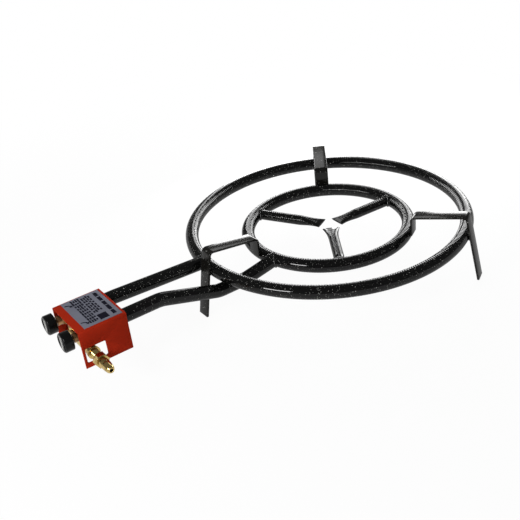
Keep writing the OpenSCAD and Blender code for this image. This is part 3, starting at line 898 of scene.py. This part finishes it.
def weld_tree():
    """Overlapping weld ripples along seams."""
    tree = Grower("weld_beads", {
        "Geometry": "Geometry", "Bead Radius": "Float", "Bead Pitch": "Float", "Seed": "Int",
        "Finish": "Material"})
    line = tree.node("GeometryNodeMeshToCurve", {}, {"Mesh": tree.size("Geometry")})
    steps = tree.node("GeometryNodeResampleCurve", {"mode": "LENGTH"}, {
        "Curve": line, "Length": tree.size("Bead Pitch")})
    blob = tree.node("GeometryNodeMeshUVSphere", {}, {
        "Segments": BEAD_SIDES, "Rings": BEAD_RINGS, "Radius": tree.size("Bead Radius")})
    lean = tree.node("FunctionNodeAlignRotationToVector", {"axis": "Z"}, {
        "Vector": tree.node("GeometryNodeInputTangent")})
    draw = tree.node("FunctionNodeRandomValue", {"data_type": "FLOAT"}, {
        2: BEAD_SHARES[0], 3: BEAD_SHARES[1], "Seed": tree.size("Seed")}, 1)
    beads = tree.node("GeometryNodeInstanceOnPoints", {}, {
        "Points": steps, "Instance": blob, "Rotation": lean,
        "Scale": tree.join(draw, draw, BEAD_LENGTH_SHARE)})
    tree.close(beads)
    return tree


def weld_beads(seams):
    """One bead along every seam of the frame."""
    points, edges = [], []
    for seam, round_trip in seams:
        first = len(points)
        points.extend(tuple(p) for p in seam)
        edges.extend((i, i + 1) for i in range(first, len(points) - 1))
        if round_trip:
            edges.append((len(points) - 1, first))
    lines = bpy.data.meshes.new("seams")
    lines.from_pydata(points, edges, [])
    mesh = weld_tree().grow("weld_beads", {
        "Bead Radius": BEAD_R, "Bead Pitch": BEAD_PITCH, "Seed": BEAD_SEED, "Finish": WELD_ENAMEL}, lines)
    piece("weld_beads", mesh, FRAME_BODY, "enamel")


def port_tree():
    """A row of gas ports round a ring, at an angle of its section, as thin dark discs: painted shade in place
    of holes.
    """
    tree = Grower("gas_ports", {
        "Ring Radius": "Float", "Tube Radius": "Float", "Ports": "Int", "Port Radius": "Float",
        "Lean": "Float", "Start": "Float", "Centre": "Vector", "Finish": "Material"})
    lean = tree.size("Lean")
    row = tree.node("GeometryNodeCurvePrimitiveCircle", {}, {
        "Resolution": tree.size("Ports"),
        "Radius": tree.size("Ring Radius") + tree.size("Tube Radius") * tree.math("COSINE", lean)})
    turned_row = tree.node("GeometryNodeTransform", {}, {
        "Geometry": row,
        "Translation": tree.join(0, 0, tree.size("Tube Radius") * tree.math("SINE", lean)),
        "Rotation": tree.join(0, 0, tree.size("Start"))})
    x = tree.split(tree.node("GeometryNodeInputPosition"))
    spread = tree.math("SQRT", x * x + x.of("Y") * x.of("Y"))
    outward = tree.join(
        x / spread * tree.math("COSINE", lean), x.of("Y") / spread * tree.math("COSINE", lean),
        tree.math("SINE", lean))
    face = tree.node("FunctionNodeAlignRotationToVector", {"axis": "Z"}, {"Vector": outward})
    hole = tree.node("GeometryNodeMeshCylinder", {}, {
        "Vertices": PORT_SIDES, "Radius": tree.size("Port Radius"), "Depth": PORT_DEPTH}, "Mesh")
    ports = tree.node("GeometryNodeInstanceOnPoints", {}, {
        "Points": turned_row, "Instance": hole, "Rotation": face})
    tree.close(tree.node("GeometryNodeTransform", {}, {
        "Geometry": ports, "Translation": tree.size("Centre")}))
    return tree


def gas_ports():
    """Two staggered rows of ports on the top of each ring, drawn as dark discs of painted shade."""
    tree = port_tree()
    rows = []
    for radius, z in ((outer_r, 0), (inner_r, inner_z)):
        count = round(2 * math.pi * radius / PORT_PITCH)
        for lean, start in PORT_ROWS:
            rows.append(tree.grow("ports", {
                "Ring Radius": radius, "Tube Radius": tube_r, "Ports": count, "Port Radius": PORT_D / 2,
                "Lean": math.radians(lean), "Start": start * 2 * math.pi / count,
                "Centre": ring_centre + UP * z, "Finish": PORT_SHADE}))
    mesh = joined("gas_ports", rows)
    piece("gas_ports", finished(mesh, PORT_SHADE), FRAME_BODY, "enamel")


def inlet():
    """Turned brass inlet with a rounded, bored nose and a ring-threaded barrel, and its nut."""
    along = Vector((0, -1, 0))
    start = Vector((inlet_axis.x, inlet_hi.y, inlet_axis.z))
    length = inlet_hi.y - inlet_lo.y
    collar_r = (inlet_hi.x - inlet_lo.x) / 2
    nut_start = inlet_hi.y - nut_hi.y
    nut_end = inlet_hi.y - nut_lo.y
    spigot_end = nut_end + SPIGOT_L
    nose_l = length - spigot_end
    profile = [(0, INLET_BORE_R), (0, STUB_R), (STUB_L, STUB_R)]
    profile += [(STUB_L, collar_r - INLET_EDGE), (STUB_L + INLET_EDGE, collar_r)]
    collar_end = STUB_L + COLLAR_L
    profile += [(collar_end - INLET_EDGE, collar_r), (collar_end, collar_r - INLET_EDGE)]
    profile.append((collar_end, BARREL_R))
    thread_l = nut_start - collar_end - THREAD_PITCH
    for k in range(int(thread_l / THREAD_PITCH)):
        root = collar_end + THREAD_PITCH * (k + THREAD_START_SHARE)
        profile += [(root, BARREL_R - THREAD_DEPTH), (root + THREAD_PITCH / 2, BARREL_R)]
    profile += [(nut_end, BARREL_R), (nut_end, SPIGOT_R - SPIGOT_EDGE), (nut_end + SPIGOT_EDGE, SPIGOT_R)]
    profile += [(spigot_end - INLET_EDGE, SPIGOT_R), (spigot_end, SPIGOT_R - NOSE_STEP)]
    for k in range(1, NOSE_STATIONS + 1):
        share = k / NOSE_STATIONS
        taper = 1 - NOSE_TAPER_SHARE * share - NOSE_CURVE_SHARE * share ** 2
        rounding = max(0.0, (share - NOSE_ROUND_FROM) / (1 - NOSE_ROUND_FROM))
        tip = math.sqrt(max(0.0, 1 - NOSE_TIP_SHARE * rounding ** 2))
        profile.append((spigot_end + nose_l * share, SPIGOT_R * taper * tip))
    profile += [(length, INLET_BORE_R + NOSE_RIM), (length - NOSE_RIM_L, INLET_BORE_R)]
    profile.append((length - INLET_BORE_SEEN, INLET_BORE_R))
    mesh = finished(turned("inlet_connector_turned", profile, start, along), INLET_BRASS, sharp=40)
    piece("inlet_connector_turned", mesh, FRAME_BODY, "brass", "inlet_connector")

    flat_r = (nut_hi.z - nut_lo.z) / 2
    rings = []
    face, wide = NUT_CAP_SHARES
    for y, cap in (
            (nut_hi.y, face), (nut_hi.y - NUT_EDGE, wide), (nut_lo.y + NUT_EDGE, wide), (nut_lo.y, face)):
        ring = []
        for k in range(NUT_SIDES):
            turn = 360 * k / NUT_SIDES
            hexagon = flat_r / math.cos(math.radians((turn + 30) % 60 - 30))
            radius = min(hexagon, flat_r * cap)
            ring.append(Vector((
                inlet_axis.x + radius * math.sin(math.radians(turn)), y,
                inlet_axis.z + radius * math.cos(math.radians(turn)))))
        rings.append(ring)
    mesh = finished(lofted("inlet_nut_hexagon", rings), INLET_BRASS, sharp=20)
    piece("inlet_nut_hexagon", mesh, FRAME_BODY, "brass", "inlet_nut")


def knobs():
    """Two black knobs with eased edges."""
    for side in ("left", "right"):
        node = "knob_" + side
        moulding = refined(node, KNOB_EDGE, KNOB_PLASTIC, angle=30)
        piece(node + "_moulding", moulding, side + "_knob", "knob_plastic", node)


def print_tree():
    """Rows of bars of different lengths, each row slipped along a little."""
    tree = Grower("print_rows", {
        "Rows": "Int", "Words": "Int", "Row Pitch": "Float", "Word Pitch": "Float", "Bar": "Float",
        "Thickness": "Float", "Seed": "Int", "Corner": "Vector", "Finish": "Material"})
    rows, words = tree.size("Rows"), tree.size("Words")
    row_pitch, word_pitch = tree.size("Row Pitch"), tree.size("Word Pitch")
    grid = tree.node("GeometryNodeMeshGrid", {}, {
        "Size X": (rows - 1) * row_pitch, "Size Y": (words - 1) * word_pitch,
        "Vertices X": rows, "Vertices Y": words}, "Mesh")
    bar = tree.node("GeometryNodeMeshCube", {}, {
        "Size": tree.join(tree.size("Bar"), word_pitch, tree.size("Thickness"))}, "Mesh")
    row = tree.math("FLOOR", tree.node("GeometryNodeInputIndex") / words)
    slip = tree.node("FunctionNodeRandomValue", {"data_type": "FLOAT"}, {
        2: -PRINT_SLIP_SHARE, 3: PRINT_SLIP_SHARE, "ID": row, "Seed": tree.size("Seed")}, 1)
    placed = tree.node("GeometryNodeSetPosition", {}, {
        "Geometry": grid, "Offset": tree.join(0, slip * word_pitch, 0)})
    draw = tree.node("FunctionNodeRandomValue", {"data_type": "FLOAT"}, {
        2: PRINT_BAR_SHARES[0], 3: PRINT_BAR_SHARES[1], "Seed": tree.size("Seed")}, 1)
    bars = tree.node("GeometryNodeInstanceOnPoints", {}, {
        "Points": placed, "Instance": bar, "Scale": tree.join(1, draw, 1)})
    tree.close(tree.node("GeometryNodeTransform", {}, {
        "Geometry": bars, "Translation": tree.size("Corner")}))
    return tree


def arrow(centre, z):
    """A flat turn arrow: an arc with a head at its end."""
    start, end = ARROW_TURNS
    turns = np.linspace(start, end, ARROW_STEPS + 1)
    head = end + math.copysign(ARROW_HEAD_TURN, end - start)
    outline = [centre + heading(turn) * (ARROW_R + ARROW_W / 2) for turn in turns]
    outline.append(centre + heading(end) * (ARROW_R + ARROW_HEAD_SHARE * ARROW_W))
    outline.append(centre + heading(head) * ARROW_R)
    outline.append(centre + heading(end) * (ARROW_R - ARROW_HEAD_SHARE * ARROW_W))
    outline += [centre + heading(turn) * (ARROW_R - ARROW_W / 2) for turn in turns[::-1]]
    rings = [[(x, y, z + lift) for x, y in outline] for lift in (0, PRINT_T)]
    return lofted("turn_arrow", rings)


def label():
    """Foil plate with rows of ink bars, a solid block and a turn arrow for each knob."""
    piece("label_foil", refined("label_plate", LABEL_EDGE, LABEL_FOIL), FRAME_BODY, "label", "label_plate")
    tree = print_tree()
    top = label_hi.z + PRINT_LIFT
    middle_y = (label_lo.y + label_hi.y) / 2
    meshes = []
    for rows, words, row_pitch, word_pitch, bar, x, y, seed in PRINT_BLOCKS:
        meshes.append(tree.grow("print_rows", {
            "Rows": rows, "Words": words, "Row Pitch": row_pitch * MM, "Word Pitch": word_pitch * MM,
            "Bar": bar * MM, "Thickness": PRINT_T, "Seed": seed,
            "Corner": Vector((label_lo.x + x * MM, middle_y + y * MM, top)), "Finish": LABEL_INK}))
    meshes.append(lofted("print_block", [
        [(label_lo.x + x * MM, middle_y + y * MM, top + lift) for x, y in SOLID_BLOCK]
        for lift in (0, PRINT_T)]))
    for x, y in ARROW_PLACES:
        centre = np.array((label_lo.x + x * MM, middle_y + y * MM))
        meshes.append(arrow(centre, top))
    mesh = joined("label_print", meshes)
    piece("label_print", finished(mesh, LABEL_INK), FRAME_BODY, "label")


def tap_springs():
    """Coil springs in the space of their CAD sleeves, each on the body of its tap plug."""
    for side in ("left", "right"):
        node = "tap_spring_" + side
        lo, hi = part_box(node)
        axis = (lo + hi) / 2
        coil_r = (hi.y - lo.y) / 2 - SPRING_WALL / 2
        steps = SPRING_TURNS * SPRING_STEPS
        rings = []
        for k in range(steps + 1):
            turn = heading(360 * k / SPRING_STEPS)
            outward = Vector((0, turn[0], turn[1]))
            x = lo.x + SPRING_WIRE_R + (hi.x - lo.x - 2 * SPRING_WIRE_R) * k / steps
            middle = Vector((x, axis.y, axis.z)) + outward * coil_r
            section = [heading(360 * j / SPRING_SIDES) * SPRING_WIRE_R for j in range(SPRING_SIDES)]
            rings.append([middle + outward * out + Vector((along, 0, 0)) for out, along in section])
        coil = finished(lofted(node, rings), STEEL)
        spring = piece(node + "_coil", coil, side + "_plug", "steel", node)
        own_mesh(spring)


def small_parts():
    """The cover and the tap bonnets with eased edges, and the finish of the parts inside."""
    cover = refined("control_cover", COVER_EDGE, RED_COAT)
    piece("control_cover_sheet", cover, FRAME_BODY, "red_coat", "control_cover")
    for side in ("left", "right"):
        node = "tap_bonnet_" + side
        piece(node + "_eased", refined(node, BONNET_EDGE, TAP_BRASS_SHADED), FRAME_BODY, "brass", node)
        dress(TAP_BRASS_SHADED, "tap_body_" + side, "tap_plug_" + side, "tap_spindle_" + side, "injector_" + side)
    dress(INLET_BRASS, "gas_manifold", "manifold_cap")
    dress(STEEL, "carrier_plate", "carrier_screws")
    dress(FIBRE, "inlet_washer")


def photo_camera():
    """Camera at the photograph's viewpoint, found from the rings and the cover."""
    azimuth, elevation = math.radians(CAMERA_AZIMUTH), math.radians(CAMERA_ELEVATION)
    roll = math.radians(CAMERA_ROLL)
    aim_right, aim_up = CAMERA_AIM
    flat = math.cos(elevation)
    back = Vector((math.sin(azimuth) * flat, -math.cos(azimuth) * flat, math.sin(elevation)))
    right = Vector((math.cos(azimuth), math.sin(azimuth), 0))
    up = back.cross(right)
    data = bpy.data.cameras.new("photo_camera")
    data.sensor_width = CAMERA_SENSOR
    data.lens = CAMERA_FOCAL_SHARE * CAMERA_SENSOR
    data.clip_start, data.clip_end = CAMERA_CLIP
    camera = bpy.data.objects.new("photo_camera", data)
    level = right * math.cos(roll) + up * math.sin(roll)
    upright = up * math.cos(roll) - right * math.sin(roll)
    turn = Matrix((level, upright, back)).transposed().to_4x4()
    place = ring_centre + right * aim_right + up * aim_up + back * CAMERA_DISTANCE
    camera.matrix_world = Matrix.Translation(place) @ turn
    bpy.context.scene.collection.objects.link(camera)
    bpy.context.scene.camera = camera


def area_lamp(name, place, azimuth, elevation, size, power):
    """Soft lamp at a place, whose light leaves along an azimuth and an elevation."""
    data = bpy.data.lights.new(name, "AREA")
    data.shape = "RECTANGLE"
    data.size, data.size_y = size
    data.energy = power
    lamp = bpy.data.objects.new(name, data)
    a, e = math.radians(azimuth), math.radians(elevation)
    along = Vector((math.cos(a) * math.cos(e), math.sin(a) * math.cos(e), math.sin(e)))
    lamp.matrix_world = Matrix.Translation(place) @ along.to_track_quat("-Z", "Y").to_matrix().to_4x4()
    lamp.visible_camera = False
    bpy.context.scene.collection.objects.link(lamp)


def studio():
    """White floor and backdrop, a dim ceiling, a lamp at each end and two windows that the gloss reflects."""
    world = bpy.data.worlds.new("surround")
    world.use_nodes = True
    bpy.context.scene.world = world
    sky = Graph(world.node_tree)
    direction = sky.node("ShaderNodeTexCoord", out="Generated")
    z = sky.split(direction).of("Z")
    light = CEILING + (1 - CEILING) * sky.ease(z, heading(2 * BACKDROP_TOP)[1], heading(BACKDROP_TOP)[1])
    background = world.node_tree.nodes["Background"]
    sky.fill(background.inputs["Color"], sky.join(light, light, light))
    background.inputs["Strength"].default_value = 1.0

    area_lamp(
        "control_end_lamp", (-1.22, -0.31, 0.68), azimuth=13, elevation=-24, size=(0.5, 0.24), power=12.5)
    area_lamp("back_lamp", (0.74, 0.95, 0.93), azimuth=236, elevation=-37, size=(0.4, 0.3), power=1.2)
    area_lamp("side_window", (0.91, 0.44, 0.27), azimuth=170, elevation=0, size=(0.66, 0.44), power=14)
    area_lamp("back_window", (0.33, 0.42, 0.115), azimuth=270, elevation=0, size=(0.34, 0.19), power=3.2)

    mesh = bpy.data.meshes.new("floor")
    corners = [(x * FLOOR_HALF, y * FLOOR_HALF, 0) for x, y in ((-1, -1), (1, -1), (1, 1), (-1, 1))]
    mesh.from_pydata(corners, [], [(0, 1, 2, 3)])
    floor = bpy.data.objects.new("floor", mesh)
    bpy.context.scene.collection.objects.link(floor)
    material = bpy.data.materials.new("floor_white")
    material.use_nodes = True
    paint = Graph(material.node_tree)
    paint.tree.nodes.remove(paint.tree.nodes["Principled BSDF"])
    path = paint.node("ShaderNodeLightPath", out="Is Camera Ray")
    mirrored = paint.math("MAXIMUM", path.of("Is Glossy Ray"), path.of("Is Transmission Ray"))
    seen = paint.math("MAXIMUM", path, mirrored)
    matt = paint.node("ShaderNodeBsdfDiffuse", {}, {"Color": FLOOR_COLOUR})
    glow = paint.node("ShaderNodeEmission", {}, {"Color": (1, 1, 1, 1), "Strength": 1.0})
    spot = paint.split(paint.node("ShaderNodeTexCoord", out="Object"))
    reach = paint.math("SQRT", spot * spot + spot.of("Y") * spot.of("Y"))
    far = paint.ease(reach, *SHADOW_REACH)
    share = FLOOR_GLOW_SHARE + (1 - FLOOR_GLOW_SHARE) * far
    mixed = paint.node("ShaderNodeMixShader", {}, {0: share * seen, 1: matt, 2: glow})
    paint.fill(paint.tree.nodes["Material Output"].inputs["Surface"], mixed)
    mesh.materials.append(material)
    bpy.context.scene.view_settings.view_transform = "Standard"


photo_camera()
studio()
ring_pieces()
weld_beads(feed_tubes() + centre_arms() + supports())
gas_ports()
small_parts()
tap_springs()
inlet()
knobs()
label()
